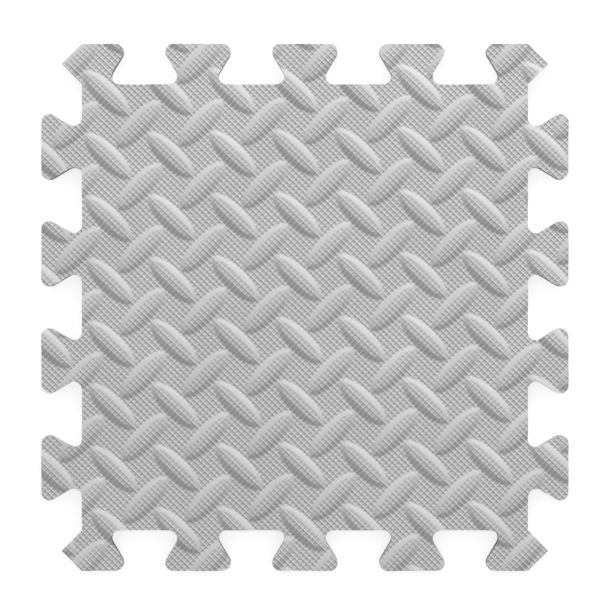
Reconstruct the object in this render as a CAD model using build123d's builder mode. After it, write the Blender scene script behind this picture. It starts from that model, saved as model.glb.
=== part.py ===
"""Interlocking blocking mat: one square of moulded EVA foam with puzzle edges and a tread-plate top.

Frame: millimetres, +Z up. The origin is the middle of the underside, which lies on the table.
The front and back edges have three whole tabs and two corner tabs each, and the left and right edges
have four whole tabs each. A neighbour is the same mat given a quarter turn, so both kinds of edge
share one dovetail. The die cuts through the moulded tread, so ribs end where the outline crosses them.
"""
import os
from math import radians, sqrt, tan

from build123d import *

# ---- driving dimensions: the die-cut outline ----
mat_pitch = 300.0        # centre of one mat to the centre of its locked neighbour
tab_depth = 25.0         # how far a tab reaches into the neighbour
corner_width = 22.0      # core corner to the middle of the nearest flank, along the edge
flank_angle = 31.0       # lean of the tabs' flanks, which makes them dovetails
tab_radius = 5.0         # rounding of the tabs' tips and of the roots between them
corner_radius = 3.0      # rounding of the outer end of a corner tab
fit_gap = 0.2            # space between two locked mats, half of it taken off each
flanks_per_edge = 8      # four whole tabs, or three whole tabs and the inner flanks of two corner tabs

# ---- driving dimensions: the layers, from the table up ----
base_thickness = 0.6     # dense skin of the underside
core_thickness = 7.4     # cellular foam between the two skins
tread_thickness = 0.6    # dense skin of the top, without its ribs

# ---- driving dimensions: the tread ----
rib_height = 1.4         # top of a rib above the skin between the ribs
rib_length = 38.6
rib_width = 13.4
rib_pitch = 38.6         # from a rib to the next one of the same direction
rib_lean = 45.0          # ribs lean this far from the pattern's own upright, by turns left and right
pattern_turn = 1.1       # the mould's pattern is turned this far against the die-cut edges
pattern_x = -3.6         # middle of one left-leaning rib, from the middle of the mat
pattern_y = -20.6

# ---- sizes that follow ----
core_side = mat_pitch - tab_depth
core_half = core_side / 2
tip_half = core_half + tab_depth
flank_spacing = (core_side - 2 * corner_width) / (flanks_per_edge - 1)
tab_pitch = 2 * flank_spacing
flank_run = tab_depth / 2 * tan(radians(flank_angle))
root_half = flank_spacing / 2 - flank_run
end_half = flank_spacing / 2 + flank_run
whole_tabs_between_corners = flanks_per_edge // 2 - 1
corner_tab = (whole_tabs_between_corners + 1) / 2 * tab_pitch
corner_square_middle = core_half + tab_depth / 2

core_foot = base_thickness
tread_foot = core_foot + core_thickness
rib_foot = tread_foot + tread_thickness
mat_height = rib_foot + rib_height


def row_of_middles(count):
    """Middles of a row of tabs, evenly spaced about the middle of an edge."""
    return [(number - (count - 1) / 2) * tab_pitch for number in range(count)]


def whole_tab(middle):
    """A tab on the back edge, with its corners still sharp, in the sketch that is open."""
    Polygon(
        (middle - root_half, core_half),
        (middle + root_half, core_half),
        (middle + end_half, tip_half),
        (middle - end_half, tip_half),
        align=None,
    )


def right_corner_tab():
    """The back edge's right corner tab, with a dovetail flank towards the other tabs.

    Outside the core it fills a quarter of the corner square, where four mats meet.
    """
    Polygon(
        (corner_tab - root_half, core_half),
        (core_half, core_half),
        (corner_square_middle, corner_square_middle),
        (core_half, tip_half),
        (corner_tab - end_half, tip_half),
        align=None,
    )


def at_corner_square(vertex):
    """True for the vertices on the boundary of a corner square, where the corner tabs end."""
    return min(abs(vertex.X), abs(vertex.Y)) > core_half - tab_radius


def on_outer_end(vertex):
    """True for the vertex where a corner tab's end meets its slanting side."""
    return at_corner_square(vertex) and abs(vertex.Y) > corner_square_middle + tab_radius


# ---- rows of tabs on the back edge ----
with BuildSketch() as corner_row:
    for middle in row_of_middles(whole_tabs_between_corners):
        whole_tab(middle)
    right_corner_tab()
    mirror(about=Plane.YZ)

with BuildSketch() as whole_row:
    for middle in row_of_middles(whole_tabs_between_corners + 1):
        whole_tab(middle)

# ---- die-cut outline ----
with BuildSketch() as outline:
    Rectangle(core_side, core_side)
    for turn in (0, 180):
        add(corner_row.sketch, rotation=turn)
        add(whole_row.sketch, rotation=turn + 90)
    fillet([v for v in outline.vertices() if not at_corner_square(v)], tab_radius)
    fillet([v for v in outline.vertices() if on_outer_end(v)], corner_radius)
    offset(amount=-fit_gap / 2)

# ---- one rib: the cap of a long ellipsoid, whose foot is sunk into the skin ----
bow_radius = ((rib_width / 2) ** 2 + rib_height**2) / (2 * rib_height)
bow_depth = bow_radius - rib_height
bow_half_length = rib_length / 2 / sqrt(1 - (bow_depth / bow_radius) ** 2)
with BuildPart() as rib:
    with BuildSketch(Plane.XZ):
        with Locations((0, -bow_depth)):
            Ellipse(bow_half_length, bow_radius)
            Rectangle(
                2 * bow_half_length, 2 * bow_radius, align=(Align.CENTER, Align.MAX), mode=Mode.SUBTRACT
            )
    revolve(axis=Axis((0, 0, -bow_depth), (1, 0, 0)))
    split(bisect_by=Plane.XY.offset(-tread_thickness / 2), keep=Keep.TOP)


def rib_places():
    """Where each rib stands that can reach the mat: upright rows and columns, turned with the pattern."""
    reach = tip_half + rib_length / 2
    steps = int(2 * reach / rib_pitch) + 1
    pattern = Location((pattern_x, pattern_y, rib_foot), (0, 0, pattern_turn))
    places = []
    for half_step, lean in ((0.0, rib_lean), (0.5, -rib_lean)):
        for row in range(-steps, steps + 1):
            for column in range(-steps, steps + 1):
                spot = ((column + half_step) * rib_pitch, (row + half_step) * rib_pitch, 0)
                place = pattern * Location(spot, (0, 0, 90 + lean))
                if max(abs(place.position.X), abs(place.position.Y)) < reach:
                    places.append(place)
    return places


# ---- base_skin: the dense underside ----
with BuildPart() as base_skin:
    add(outline.sketch)
    extrude(amount=base_thickness)
base_skin.part.label = "base_skin"

# ---- foam_core: the cellular middle, bare on the cut edges ----
with BuildPart() as foam_core:
    with BuildSketch(Plane.XY.offset(core_foot)):
        add(outline.sketch)
    extrude(amount=core_thickness)
foam_core.part.label = "foam_core"

# ---- tread_skin: the dense top with its ribs, cut off at the outline ----
with BuildPart() as tread_skin:
    with BuildSketch(Plane.XY.offset(tread_foot)):
        Rectangle(2 * tip_half, 2 * tip_half)
    extrude(amount=tread_thickness)
    with Locations(*rib_places()):
        add(rib.part)
    with BuildSketch(Plane.XY.offset(tread_foot)):
        add(outline.sketch)
    extrude(amount=tread_thickness + 2 * rib_height, mode=Mode.INTERSECT)
tread_skin.part.label = "tread_skin"

# ---- one STEP file for each piece ----
os.makedirs("parts", exist_ok=True)
export_step(base_skin.part, "parts/base_skin.step")
export_step(foam_core.part, "parts/foam_core.step")
export_step(tread_skin.part, "parts/tread_skin.step")

print(f"outline {outline.face().area:.1f} mm2, tab pitch {tab_pitch:.2f}, height {mat_height:.2f}")
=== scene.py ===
"""Looks of the interlocking blocking mat: embossed top, die-cut foam edge and grained underside."""
from math import ceil, cos, hypot, radians, sin, sqrt

import bmesh
import bpy
from mathutils import Matrix, Vector


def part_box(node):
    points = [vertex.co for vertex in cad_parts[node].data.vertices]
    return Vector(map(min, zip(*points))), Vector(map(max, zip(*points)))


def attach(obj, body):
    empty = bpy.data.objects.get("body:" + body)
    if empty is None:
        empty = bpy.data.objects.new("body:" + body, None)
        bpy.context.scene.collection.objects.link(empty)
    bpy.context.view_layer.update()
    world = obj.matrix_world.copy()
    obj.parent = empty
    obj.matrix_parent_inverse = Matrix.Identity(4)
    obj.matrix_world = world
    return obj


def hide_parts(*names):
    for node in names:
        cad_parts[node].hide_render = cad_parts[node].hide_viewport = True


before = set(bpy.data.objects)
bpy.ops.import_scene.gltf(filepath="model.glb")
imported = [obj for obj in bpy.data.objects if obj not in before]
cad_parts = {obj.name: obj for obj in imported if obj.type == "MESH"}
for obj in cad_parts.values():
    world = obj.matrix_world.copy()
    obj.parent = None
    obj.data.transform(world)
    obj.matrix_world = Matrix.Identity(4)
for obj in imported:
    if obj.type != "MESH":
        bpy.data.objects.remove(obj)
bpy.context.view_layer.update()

MM = 0.001

# ---- the mould's tread, in millimetres ----
RIB_LENGTH = 38.6
RIB_WIDTH = 13.3
RIB_BLUNTNESS = 2.15         # 2 is a plain ellipse; more gives blunter ends
RIB_PITCH = 38.6             # from a rib to the next one of the same direction
RIB_LEAN = radians(45.0)     # ribs lean by turns left and right of the pattern's own upright
RIB_HEIGHT = 1.4             # above the crests of the waffle
FLANK_WIDTH = 3.3            # a steeper strip around each rib's foot
FLANK_SHARE = 0.35           # of the rib's height; a low dome gives the rest
PLAIN_CORE = 0.5             # share of the way from a rib's middle to its foot that no flank reaches
PATTERN_TURN = radians(1.1)
PATTERN_MIDDLE = Vector((-3.6, -20.6, 0))

# ---- the fine waffle between and over the ribs, in millimetres ----
WAFFLES_PER_RIB_PITCH = 10
WAFFLE_PITCH = RIB_PITCH / WAFFLES_PER_RIB_PITCH / sqrt(2)
WAFFLE_AXES = (Vector((1, 1, 0)).normalized(), Vector((1, -1, 0)).normalized())
STEPS_PER_WAFFLE = 4         # mesh faces across a waffle of the top; each of its walls takes one
PIT_DEPTH = 0.28
SLOPE_REACH = 0.4            # half the distance over which a slope of the ribs is measured
GROOVE_SLOPE = 0.33          # where a flank is this steep, its pits run together into grooves
SPENT_PER_SLOPE = 0.65       # share of its depth that the grain loses on a slope of 1 in 1
FADE_SLOPE = 0.42            # where a flank falls this steeply to the back, its grain is drawn out
FAINTEST_SHARE = 0.15        # of the grain's depth, left there
UNDERSIDE_PIT_DEPTH = 0.2
UNDERSIDE_WALL_SHARE = 0.3   # width of a pit's wall, as a share of the waffle's pitch

# ---- the cut, in millimetres ----
WELD_DISTANCE = 0.001        # joins the faces of a solid of the frame
DIE_STRETCH = 3              # the die's height in heights of the core, so that it passes both skins
SKIN_SHARP_ANGLE = radians(10)
CORE_SHARP_ANGLE = radians(35)
EDGE_DRAW = 0.3              # how far the cut foam draws in between its skins
EDGE_STEPS = 6               # rows of faces up the foam's edge
LEAST_SIDEWAYS = 0.5         # level part of a normal on the foam's edge

# ---- places read from the frame: the corners in metres, the rest in millimetres ----
core_low, core_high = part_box("foam_core")
tread_low, tread_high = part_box("tread_skin")
TIP_HALF = core_high.x / MM
BASE_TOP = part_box("base_skin")[1].z / MM
TREAD_FOOT = tread_low.z / MM
MAT_HEIGHT = tread_high.z / MM
GROUND = MAT_HEIGHT - RIB_HEIGHT

# ---- the mat's place in the pattern, in millimetres ----
MAT_MIDDLE = Matrix.Rotation(-PATTERN_TURN, 3, "Z") @ -PATTERN_MIDDLE
SHEET_REACH = TIP_HALF * (1 + sin(PATTERN_TURN)) + WAFFLE_PITCH

# ---- materials: sizes in millimetres, tones in sRGB hex ----
EMBOSSED_TONES = ("b9b9b9", "c0c0c0")  # the clouds' darker and lighter tone
EMBOSSED_GRAIN = 0.5               # size of the blasted grain
GRAINED_TONES = ("b7b7b7", "bfbfbf")
GRAINED_GRAIN = 0.9
CLOUD_SIZE = 45
CLOUD_DETAIL = 4
CLOUD_RANGE = (0.3, 0.7)           # of the noise, from the darker tone to the lighter one
PINHOLE_SPACING = 9
PINHOLE_RANGE = (0.025, 0.045)     # of the spacing, from a pinhole's floor to its rim
# painted shade: a dark speck stands in for the shadowed hollow of a pinhole, which the mesh doesn't have
PINHOLE_PAINTED_SHADE = "989898"
FINE_DETAIL = 3                    # of the noise in the grain and in the drag lines
GRAIN_BUMP = (0.7, 0.06)           # strength and depth, as for every bump here
GRAIN_RANGE = (0.3, 0.7)
SKIN_ROUGHNESS = (0.6, 0.76)       # from the floor of the blasted grain to its top
SKIN_IOR = 1.48
# painted shade, darkening the underside's pits towards their floors
PIT_PAINTED_SHADE = "dcdcdc"
CELL_SIZE = 0.45
CELL_WALL = 0.16                   # of the cell's size
CELL_PAINTED_SHADE_TONES = ("bababa", "a8a8a8")  # the wall, and the bowl between the walls, darker as painted shade in its hollow
CELL_BUMP = (1.0, 0.08)
DRAG_SIZE = 0.7
DRAG_STRETCH = 0.05                # scale upright, which draws the patches out into lines
DRAG_RANGE = (0.35, 0.6)
DRAG_TONE = "f0f0f0"
DRAG_BUMP = (0.5, 0.1)
FOAM_ROUGHNESS = 0.9
UNCHANGED = "ffffff"               # a factor, as are the painted shade of the pinholes and of the pits, and the drag lines' tones

# ---- floor, light and camera, in metres and watts ----
FLOOR_SIZE = 6.0
FLOOR_TONE = "f2f2f2"
FLOOR_GLOW = 0.66
WORLD_STRENGTH = 0.44
WHITE_LIGHT = (1, 1, 1, 1)
LIGHT_DISTANCE = 3.0
KEY_LIGHT = {"turn": radians(66), "rise": radians(18.5), "size": 0.5, "energy": 122}
FILL_LIGHT = {"turn": radians(145), "rise": radians(18), "size": 0.6, "energy": 22}
CAMERA_HEIGHT = 1.6                # over the mat's top
CAMERA_X = -1.5 * MM               # the mat isn't quite in the middle of the picture
CAMERA_Y = 3.0 * MM
MAT_IN_FRAME = 0.872               # of the picture's width


# ---- small helpers ----
def linear(hex_colour):
    """A linear RGBA colour from sRGB hex, such as "c8c8c8"."""
    channels = [int(hex_colour[i:i + 2], 16) / 255 for i in (0, 2, 4)]
    return tuple(c / 12.92 if c <= 0.04045 else ((c + 0.055) / 1.055) ** 2.4 for c in channels) + (1.0,)


def add_node(tree, kind, links=(), inputs=(), **settings):
    """Adds a node, sets its properties and inputs, and links sockets of other nodes to its inputs."""
    node = tree.nodes.new(kind)
    for name, value in settings.items():
        setattr(node, name, value)
    for socket, value in inputs:
        node.inputs[socket].default_value = value
    for socket, source in links:
        tree.links.new(source, node.inputs[socket])
    return node


def solid_copy(node):
    """A bmesh of a solid from the frame, its faces joined."""
    bm = bmesh.new()
    bm.from_mesh(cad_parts[node].data)
    bmesh.ops.remove_doubles(bm, verts=bm.verts, dist=WELD_DISTANCE * MM)
    return bm


def new_piece(name, bm):
    """An object at the origin that shows the finished bmesh, with normals from its own faces."""
    mesh = bpy.data.meshes.new(name)
    bm.to_mesh(mesh)
    bm.free()
    if mesh.has_custom_normals:
        mesh.attributes.remove(mesh.attributes["custom_normal"])
    piece = bpy.data.objects.new(name, mesh)
    bpy.context.scene.collection.objects.link(piece)
    return piece


# ---- the relief of the top ----
def rib_share(along, up, lean):
    """Height of the nearest rib of one direction, as a share of a rib's full height.

    along and up are the place in the pattern, counted in rib pitches from a rib's middle.
    """
    x = (along - round(along)) * RIB_PITCH
    y = (up - round(up)) * RIB_PITCH
    half_length = RIB_LENGTH / 2
    half_width = RIB_WIDTH / 2
    lengthwise = abs(y * cos(lean) - x * sin(lean)) / half_length
    crosswise = abs(x * cos(lean) + y * sin(lean)) / half_width
    from_middle = (lengthwise ** RIB_BLUNTNESS + crosswise ** RIB_BLUNTNESS) ** (1 / RIB_BLUNTNESS)
    if from_middle >= 1:
        return 0.0
    dome = 1 - from_middle ** 2
    if from_middle < PLAIN_CORE:
        return FLANK_SHARE + (1 - FLANK_SHARE) * dome
    growth_per_mm = hypot(
        (lengthwise / from_middle) ** (RIB_BLUNTNESS - 1) / half_length,
        (crosswise / from_middle) ** (RIB_BLUNTNESS - 1) / half_width,
    )
    to_foot = (1 - from_middle) / growth_per_mm
    flank = min(1.0, to_foot / FLANK_WIDTH)
    return FLANK_SHARE * flank + (1 - FLANK_SHARE) * dome


def rib_rise(place):
    """Height of the ribs over a place in the pattern, in millimetres."""
    along = place.x / RIB_PITCH
    up = place.y / RIB_PITCH
    left_leaning = rib_share(along, up, RIB_LEAN)
    right_leaning = rib_share(along - 0.5, up - 0.5, -RIB_LEAN)
    return RIB_HEIGHT * (left_leaning + right_leaning)


def slope_along(place, axis):
    """Slope of the ribs at a place, along one of the waffle's axes."""
    ahead = rib_rise(place + axis * SLOPE_REACH)
    behind = rib_rise(place - axis * SLOPE_REACH)
    return (ahead - behind) / (2 * SLOPE_REACH)


def grain_depth(place):
    """How far the grain sinks the top at a place, in millimetres.

    Crests stay up and pits go down. A crest that runs along a flank is drawn out, so the pits there join
    into grooves up the flank, and on flanks that fall to the back the whole grain is drawn out.
    """
    slopes = [slope_along(place, axis) for axis in WAFFLE_AXES]
    sunk = 1.0
    for axis, slope in zip(WAFFLE_AXES, slopes):
        step = round(place.dot(axis) / WAFFLE_PITCH * STEPS_PER_WAFFLE)
        on_crest = step % STEPS_PER_WAFFLE == 0
        if on_crest:
            sunk = min(sunk, abs(slope) / GROOVE_SLOPE)
    spent = SPENT_PER_SLOPE * hypot(*slopes)
    rise_to_back = (slopes[0] - slopes[1]) / sqrt(2)
    drawn_out = max(0.0, -rise_to_back) / FADE_SLOPE
    return PIT_DEPTH * sunk * max(1 - spent - drawn_out, FAINTEST_SHARE)


# ---- a sheet of whole waffles, in the pattern's own place and in millimetres ----
def nearest_crossing(place):
    """The crossing of crests that is nearest to a place."""
    return sum(
        (round(place.dot(axis) / WAFFLE_PITCH) * WAFFLE_PITCH * axis for axis in WAFFLE_AXES), Vector()
    )


def waffle_middle(place):
    """Middle of the waffle that holds a place."""
    to_middle = (WAFFLE_AXES[0] + WAFFLE_AXES[1]) * WAFFLE_PITCH / 2
    return nearest_crossing(place - to_middle) + to_middle


def chosen_waffles(middle, half_width, steps, wanted):
    """The waffles about a crossing of crests whose middles are wanted, as a grid on the slant.

    half_width is the half width of a square that it covers. steps is the number of faces across a waffle.
    """
    half_count = ceil(sqrt(2) * half_width / WAFFLE_PITCH) + 2
    segments = 2 * half_count * steps
    bm = bmesh.new()
    bmesh.ops.create_grid(bm, x_segments=segments, y_segments=segments, size=half_count * WAFFLE_PITCH)
    bmesh.ops.rotate(bm, verts=bm.verts, matrix=Matrix.Rotation(radians(45), 3, "Z"))
    bmesh.ops.translate(bm, verts=bm.verts, vec=middle)
    unwanted = [face for face in bm.faces if not wanted(waffle_middle(face.calc_center_median()))]
    bmesh.ops.delete(bm, geom=unwanted, context="FACES")
    return bm


def closed_sheet(name, bm, face_height, back_height, face_down=False):
    """A piece from a moulded face, with walls and a back, in the mat's own place and in metres."""
    rim = [edge for edge in bm.edges if edge.is_boundary]
    if face_down:
        bmesh.ops.scale(bm, verts=bm.verts, vec=(1, 1, -1))
    bmesh.ops.translate(bm, verts=bm.verts, vec=(0, 0, face_height))
    wall = bmesh.ops.extrude_edge_only(bm, edges=rim)["geom"]
    for vertex in wall:
        if isinstance(vertex, bmesh.types.BMVert):
            vertex.co.z = back_height
    back_rim = [edge for edge in wall if isinstance(edge, bmesh.types.BMEdge) and edge.is_boundary]
    bmesh.ops.contextual_create(bm, geom=back_rim)
    turn = Matrix.Rotation(PATTERN_TURN, 4, "Z")
    to_mat = Matrix.Scale(MM, 4) @ Matrix.Translation(PATTERN_MIDDLE) @ turn
    bmesh.ops.transform(bm, verts=bm.verts, matrix=to_mat)
    bmesh.ops.recalc_face_normals(bm, faces=bm.faces)
    return new_piece(name, bm)


# ---- the die: it cuts the sheets to the outline of the foam core ----
def die_outline():
    """The outline as a prism that passes through the whole mat, from a copy of the core."""
    bm = solid_copy("foam_core")
    middle = (core_low.z + core_high.z) / 2
    about_middle = Matrix.Translation((0, 0, -middle))
    bmesh.ops.scale(bm, vec=(1, 1, DIE_STRETCH), space=about_middle, verts=bm.verts)
    return new_piece("die_outline", bm)


def cut_at_die_line(piece):
    """Keeps what of the piece lies inside the outline."""
    cutter = die_outline()
    modifier = piece.modifiers.new("die_cut", "BOOLEAN")
    modifier.operation = "INTERSECT"
    modifier.object = cutter
    evaluated = piece.evaluated_get(bpy.context.evaluated_depsgraph_get())
    cut = bpy.data.meshes.new_from_object(evaluated)
    piece.modifiers.clear()
    piece.data = cut
    bpy.data.objects.remove(cutter)
    cut.materials.clear()
    cut.shade_smooth()
    cut.set_sharp_from_angle(angle=SKIN_SHARP_ANGLE)


# ---- the pieces ----
def top_quarter(name, side_x, side_y):
    """One quarter of the moulded top, which meets the others along crests of the waffle."""
    middle = MAT_MIDDLE + Vector((side_x, side_y, 0)) * SHEET_REACH / 2

    def in_quarter(waffle):
        x, y = (waffle - MAT_MIDDLE).xy
        on_side = (x > 0) == (side_x > 0) and (y > 0) == (side_y > 0)
        return on_side and max(abs(x), abs(y)) < SHEET_REACH

    bm = chosen_waffles(nearest_crossing(middle), SHEET_REACH / 2, STEPS_PER_WAFFLE, in_quarter)
    for vertex in bm.verts:
        vertex.co.z = rib_rise(vertex.co) - grain_depth(vertex.co)
    piece = closed_sheet(name, bm, face_height=GROUND, back_height=TREAD_FOOT)
    cut_at_die_line(piece)
    return piece


def embossed_top():
    """The moulded top, in four quarters so that each stays a light mesh."""
    quarters = []
    for end, side_y in (("front", -1), ("back", 1)):
        for side, side_x in (("left", -1), ("right", 1)):
            quarters.append(top_quarter(f"embossed_top_{end}_{side}", side_x, side_y))
    return quarters


def cut_core():
    """The foam core, whose cut edge draws in between the skins."""
    bm = solid_copy("foam_core")
    height = core_high.z - core_low.z
    for step in range(1, EDGE_STEPS):
        cut_height = core_low.z + height * step / EDGE_STEPS
        geometry = bm.verts[:] + bm.edges[:] + bm.faces[:]
        bmesh.ops.bisect_plane(bm, geom=geometry, plane_co=(0, 0, cut_height), plane_no=(0, 0, 1))
    bm.normal_update()
    for vertex in bm.verts:
        outwards = Vector((vertex.normal.x, vertex.normal.y, 0))
        if outwards.length > LEAST_SIDEWAYS:
            share = (vertex.co.z - core_low.z) / height
            share_of_draw = 4 * share * (1 - share)
            vertex.co -= outwards.normalized() * share_of_draw * EDGE_DRAW * MM
    piece = new_piece("cut_core", bm)
    piece.data.shade_smooth()
    piece.data.set_sharp_from_angle(angle=CORE_SHARP_ANGLE)
    return piece


def grained_underside():
    """The underside: the same waffle without ribs, each pit a floor with four walls up to its crests."""

    def in_sheet(waffle):
        x, y = (waffle - MAT_MIDDLE).xy
        return max(abs(x), abs(y)) < SHEET_REACH

    bm = chosen_waffles(nearest_crossing(MAT_MIDDLE), SHEET_REACH, steps=1, wanted=in_sheet)
    pits = bm.faces[:]
    wall_width = UNDERSIDE_WALL_SHARE * WAFFLE_PITCH
    bmesh.ops.inset_individual(bm, faces=pits, thickness=wall_width, use_even_offset=True)
    for pit in pits:
        for vertex in pit.verts:
            vertex.co.z = -UNDERSIDE_PIT_DEPTH
    piece = closed_sheet("grained_underside", bm, face_height=0.0, back_height=BASE_TOP, face_down=True)
    cut_at_die_line(piece)
    return piece


# ---- materials ----
def new_material(name):
    """A material with its node tree, its shader and the place on the object, in metres."""
    material = bpy.data.materials.new(name)
    material.use_nodes = True
    tree = material.node_tree
    place = add_node(tree, "ShaderNodeTexCoord").outputs["Object"]
    return material, tree, tree.nodes["Principled BSDF"], place


def noise(tree, place, size, detail):
    """Noise whose patches have about a size in millimetres."""
    inputs = [("Scale", 1 / (size * MM)), ("Detail", detail)]
    return add_node(tree, "ShaderNodeTexNoise", [("Vector", place)], inputs).outputs["Fac"]


def cell_distance(tree, place, size, feature):
    """Distance to the nearest middle or wall of random cells of a size in millimetres."""
    inputs = [("Scale", 1 / (size * MM))]
    node = add_node(tree, "ShaderNodeTexVoronoi", [("Vector", place)], inputs, feature=feature)
    return node.outputs["Distance"]


def mapped(tree, value, source, target=(0, 1)):
    """A value brought from one range to another, and held within it."""
    inputs = zip(("From Min", "From Max", "To Min", "To Max"), (*source, *target))
    return add_node(tree, "ShaderNodeMapRange", [("Value", value)], inputs).outputs["Result"]


def tone_ramp(tree, factor, source, tones):
    """Blends from one tone to another while the factor goes over a range."""
    ramp = add_node(tree, "ShaderNodeValToRGB", [("Fac", factor)])
    for element, position, tone in zip(ramp.color_ramp.elements, source, tones):
        element.position = position
        element.color = linear(tone)
    return ramp.outputs["Color"]


def multiplied(tree, one, other):
    """Two colours multiplied."""
    mix = add_node(tree, "ShaderNodeMix", data_type="RGBA", blend_type="MULTIPLY")
    mix.inputs["Factor"].default_value = 1.0
    tree.links.new(one, mix.inputs["A"])
    tree.links.new(other, mix.inputs["B"])
    return mix.outputs["Result"]


def bump(tree, height, strength, depth, **settings):
    """A bump node, with its depth in millimetres."""
    inputs = [("Strength", strength), ("Distance", depth * MM)]
    return add_node(tree, "ShaderNodeBump", [("Height", height)], inputs, **settings)


def eva_skin(name, tones, grain_size):
    """Moulded EVA skin, closed and matt: soft clouds of tone from uneven foaming, a blasted grain that
    breaks up the sheen, and the odd pinhole where a gas bubble met the mould, painted as a dark speck of
    shade."""
    material, tree, shader, place = new_material(name)
    tone = tone_ramp(tree, noise(tree, place, CLOUD_SIZE, CLOUD_DETAIL), CLOUD_RANGE, tones)
    to_pinhole = cell_distance(tree, place, PINHOLE_SPACING, "F1")
    # pinholes painted as dark specks of shade
    pinhole_painted_shade = tone_ramp(tree, to_pinhole, PINHOLE_RANGE, (PINHOLE_PAINTED_SHADE, UNCHANGED))
    grain = noise(tree, place, grain_size, FINE_DETAIL)
    roughness = mapped(tree, grain, GRAIN_RANGE, SKIN_ROUGHNESS)
    tree.links.new(multiplied(tree, tone, pinhole_painted_shade), shader.inputs["Base Color"])
    tree.links.new(bump(tree, grain, *GRAIN_BUMP).outputs["Normal"], shader.inputs["Normal"])
    tree.links.new(roughness, shader.inputs["Roughness"])
    shader.inputs["IOR"].default_value = SKIN_IOR
    return material


def paint_pit_shade(material):
    """Paints shade into the pits of the underside: the deeper a point lies, the darker its colour."""
    tree = material.node_tree
    shader = tree.nodes["Principled BSDF"]
    skin_tone = shader.inputs["Base Color"].links[0].from_socket
    place = add_node(tree, "ShaderNodeTexCoord").outputs["Object"]
    height = add_node(tree, "ShaderNodeSeparateXYZ", [("Vector", place)]).outputs["Z"]
    depth = mapped(tree, height, (0, UNDERSIDE_PIT_DEPTH * MM))
    # painted shade: the deeper the point in a pit, the darker its colour
    pit_painted_shade = tone_ramp(tree, depth, (0, 1), (UNCHANGED, PIT_PAINTED_SHADE))
    tree.links.new(multiplied(tree, skin_tone, pit_painted_shade), shader.inputs["Base Color"])
    return material


def eva_foam_cut(name):
    """Die-cut EVA foam: a dull face of fine cells cut open, each a shallow bowl darkened with painted
    shade in a paler net of cell walls, with faint upright drag lines from the knife."""
    material, tree, shader, place = new_material(name)
    to_wall = cell_distance(tree, place, CELL_SIZE, "DISTANCE_TO_EDGE")
    bowls = mapped(tree, to_wall, (0, CELL_WALL))
    # painted shade: each cell's bowl darker than its walls, deeper in the hollow
    cell_painted_shade = tone_ramp(tree, bowls, (0, 1), CELL_PAINTED_SHADE_TONES)
    upright = add_node(tree, "ShaderNodeMapping", [("Vector", place)], [("Scale", (1, 1, DRAG_STRETCH))])
    drag = noise(tree, upright.outputs["Vector"], DRAG_SIZE, FINE_DETAIL)
    drag_tone = tone_ramp(tree, drag, DRAG_RANGE, (DRAG_TONE, UNCHANGED))
    drag_bump = bump(tree, drag, *DRAG_BUMP)
    cell_bump = bump(tree, bowls, *CELL_BUMP, invert=True)
    tree.links.new(drag_bump.outputs["Normal"], cell_bump.inputs["Normal"])
    tree.links.new(multiplied(tree, cell_painted_shade, drag_tone), shader.inputs["Base Color"])
    tree.links.new(cell_bump.outputs["Normal"], shader.inputs["Normal"])
    shader.inputs["Roughness"].default_value = FOAM_ROUGHNESS
    return material


def place_piece(piece, node, material):
    """Gives the piece its material and its body, and hides the solid of the frame that it stands for."""
    piece.data.materials.append(material)
    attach(piece, "root")
    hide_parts(node)


# ---- floor, light and camera ----
def light_only(emitter, pieces):
    """Keeps an emitter's light to the given pieces."""
    receivers = bpy.data.collections.new("lit_by_" + emitter.name)
    for piece in pieces:
        receivers.objects.link(piece)
    emitter.light_linking.receiver_collection = receivers


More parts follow.
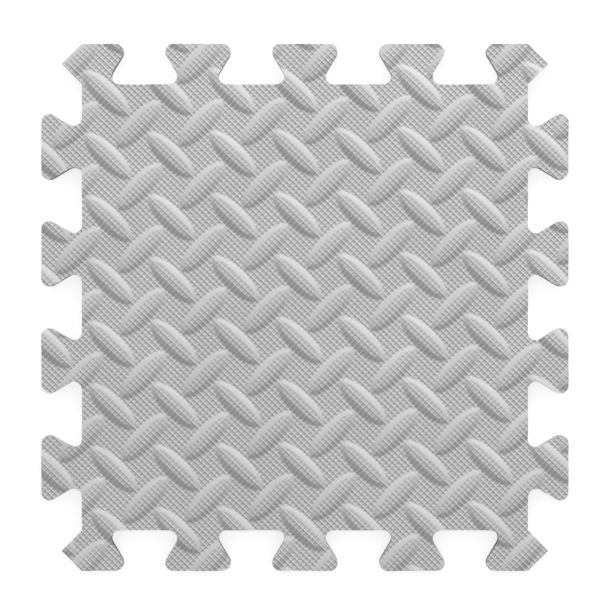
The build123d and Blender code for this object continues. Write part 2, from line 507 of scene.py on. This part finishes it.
def pale_floor():
    """White paper that glows a little by itself, so that it stays clean and bright beside the mat."""
    bm = bmesh.new()
    bmesh.ops.create_grid(bm, x_segments=1, y_segments=1, size=FLOOR_SIZE / 2)
    floor = new_piece("floor", bm)
    material = bpy.data.materials.new("white_paper")
    material.use_nodes = True
    shader = material.node_tree.nodes["Principled BSDF"]
    shader.inputs["Base Color"].default_value = linear(FLOOR_TONE)
    shader.inputs["Roughness"].default_value = 1.0
    shader.inputs["Emission Color"].default_value = WHITE_LIGHT
    shader.inputs["Emission Strength"].default_value = FLOOR_GLOW
    floor.data.materials.append(material)
    light_only(floor, [floor])


def studio_world():
    """Even white light from all round."""
    world = bpy.data.worlds.new("studio")
    world.use_nodes = True
    background = world.node_tree.nodes["Background"]
    background.inputs["Color"].default_value = WHITE_LIGHT
    background.inputs["Strength"].default_value = WORLD_STRENGTH
    bpy.context.scene.world = world


def raking_light(name, pieces, turn, rise, size, energy):
    """A soft disk of light at a low angle, with its turn counted from +X towards +Y."""
    light = bpy.data.lights.new(name, "AREA")
    light.shape = "DISK"
    light.size = size
    light.energy = energy
    lamp = bpy.data.objects.new(name, light)
    bpy.context.scene.collection.objects.link(lamp)
    towards = Vector((cos(rise) * cos(turn), cos(rise) * sin(turn), sin(rise)))
    lamp.location = towards * LIGHT_DISTANCE
    lamp.rotation_euler = towards.to_track_quat("Z", "Y").to_euler()
    light_only(lamp, pieces)


def camera_overhead():
    """A camera that looks straight down, with the mat filling most of the picture."""
    lens = bpy.data.cameras.new("camera")
    camera = bpy.data.objects.new("camera", lens)
    bpy.context.scene.collection.objects.link(camera)
    camera.location = (CAMERA_X, CAMERA_Y, MAT_HEIGHT * MM + CAMERA_HEIGHT)
    lens.lens = lens.sensor_width * CAMERA_HEIGHT * MAT_IN_FRAME / (2 * TIP_HALF * MM)
    bpy.context.scene.camera = camera


# ---- the mat ----
top_quarters = embossed_top()
core = cut_core()
underside = grained_underside()
embossed_skin = eva_skin("eva_skin_embossed", EMBOSSED_TONES, EMBOSSED_GRAIN)
grained_skin = paint_pit_shade(eva_skin("eva_skin_grained", GRAINED_TONES, GRAINED_GRAIN))
for quarter in top_quarters:
    place_piece(quarter, "tread_skin", embossed_skin)
place_piece(core, "foam_core", eva_foam_cut("eva_foam_cut"))
place_piece(underside, "base_skin", grained_skin)

# ---- the studio ----
mat_pieces = (*top_quarters, core, underside)
pale_floor()
studio_world()
raking_light("key", mat_pieces, **KEY_LIGHT)
raking_light("fill", mat_pieces, **FILL_LIGHT)
camera_overhead()
bpy.context.scene.view_settings.view_transform = "Standard"
